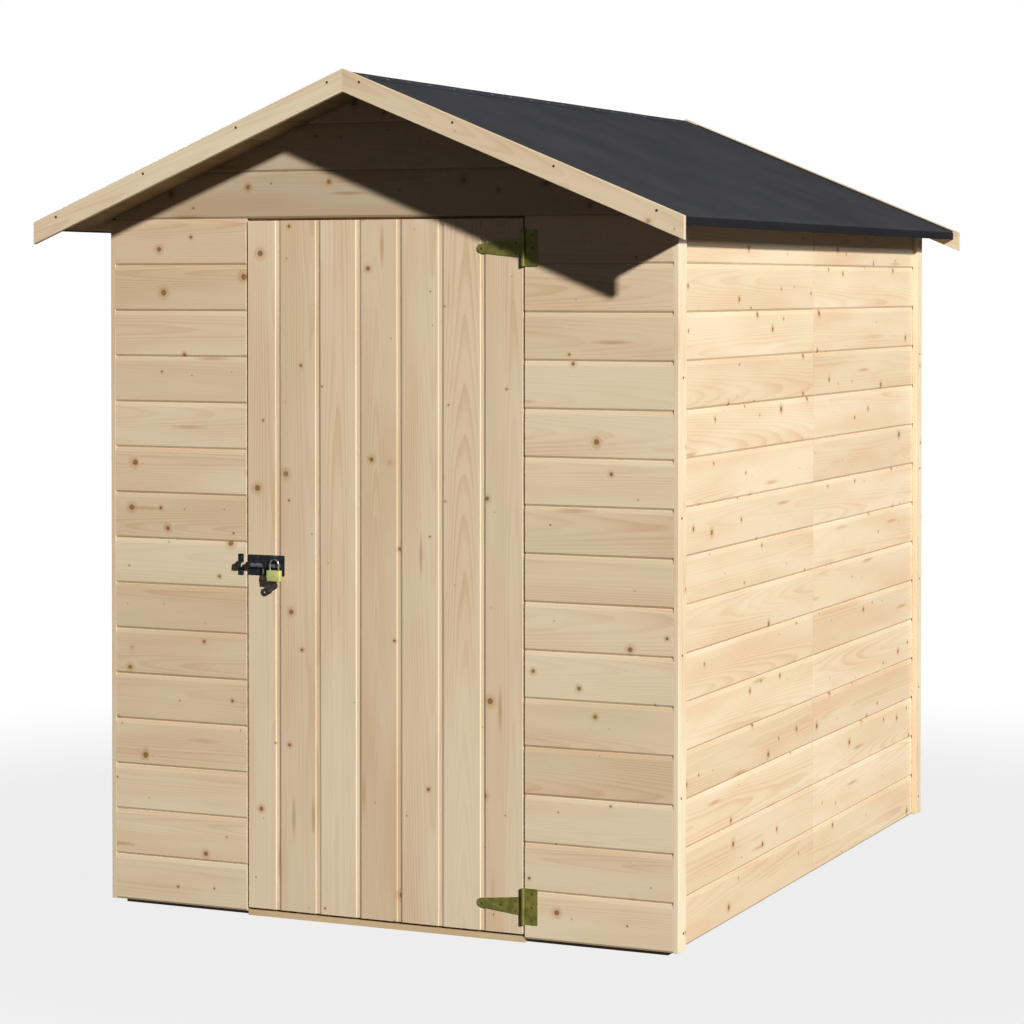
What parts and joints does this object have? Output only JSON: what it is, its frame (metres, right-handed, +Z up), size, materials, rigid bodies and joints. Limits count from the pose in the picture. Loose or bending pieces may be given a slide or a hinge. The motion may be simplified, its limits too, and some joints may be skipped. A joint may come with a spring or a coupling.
{
  "type": "garden shed",
  "caption": "Small wooden garden shed of grooved boards with a felted ridge roof, bargeboards, a ledged door on T hinges that swings out, and a sliding bolt with a padlock.",
  "frame": {"origin": "on the ground under the middle of the roof's plan", "axes": "+X to the right of someone facing the door, +Y from the door to the back, +Z up"},
  "size_m": [1.708, 2.29, 2.063],
  "materials": {
    "board": "planed softwood, satin",
    "trim": "planed softwood, satin",
    "frame_timber": "sawn softwood, matt",
    "felt": "mineral roofing felt",
    "yellow_zinc": "yellow passivated zinc",
    "black_bolt": "black satin paint",
    "brass": "brushed",
    "steel": "plated",
    "key": "dark plated"
  },
  "bodies": {
    "shed": {"front_wall_left": "board", "front_wall_right": "board", "front_gable": "board", "left_wall_front": "board", "left_wall_rear": "board", "right_wall_front": "board", "right_wall_rear": "board", "back_wall_left": "board", "back_wall_right": "board", "back_gable": "board", "roof_deck_left": "board", "roof_deck_right": "board", "front_corner_trims": "trim", "rear_corner_trims": "trim", "front_bargeboard_left": "trim", "front_bargeboard_right": "trim", "rear_bargeboard_left": "trim", "rear_bargeboard_right": "trim", "floor_bearers": "frame_timber", "floor": "frame_timber", "front_wall_studs": "frame_timber", "left_wall_studs": "frame_timber", "right_wall_studs": "frame_timber", "back_wall_studs": "frame_timber", "bottom_rails": "frame_timber", "top_rails": "frame_timber", "gable_ties": "frame_timber", "rafters_left": "frame_timber", "rafters_right": "frame_timber", "door_stops": "frame_timber", "roof_felt_left": "felt", "roof_felt_right": "felt", "ridge_felt": "felt", "upper_hinge_plate": "yellow_zinc", "lower_hinge_plate": "yellow_zinc", "bolt_keep": "black_bolt"},
    "door": {"door_leaf": "board", "door_ledges": "frame_timber", "upper_hinge_strap": "yellow_zinc", "lower_hinge_strap": "yellow_zinc", "bolt_plate": "black_bolt", "padlock_body": "brass", "padlock_shackle": "steel", "padlock_key": "key"},
    "bolt": {"bolt_rod": "black_bolt"}
  },
  "joints": [
    {"name": "door_hinge", "type": "hinge", "parent": "shed", "child": "door", "pos_m": [0.3725, -0.94, 0.868], "axis": [0, 0, 1], "range_deg": [0, 140]},
    {"name": "bolt_slide", "type": "slide", "parent": "door", "child": "bolt", "axis": [-1, 0, 0], "range_m": [0, 0.03]}
  ]
}
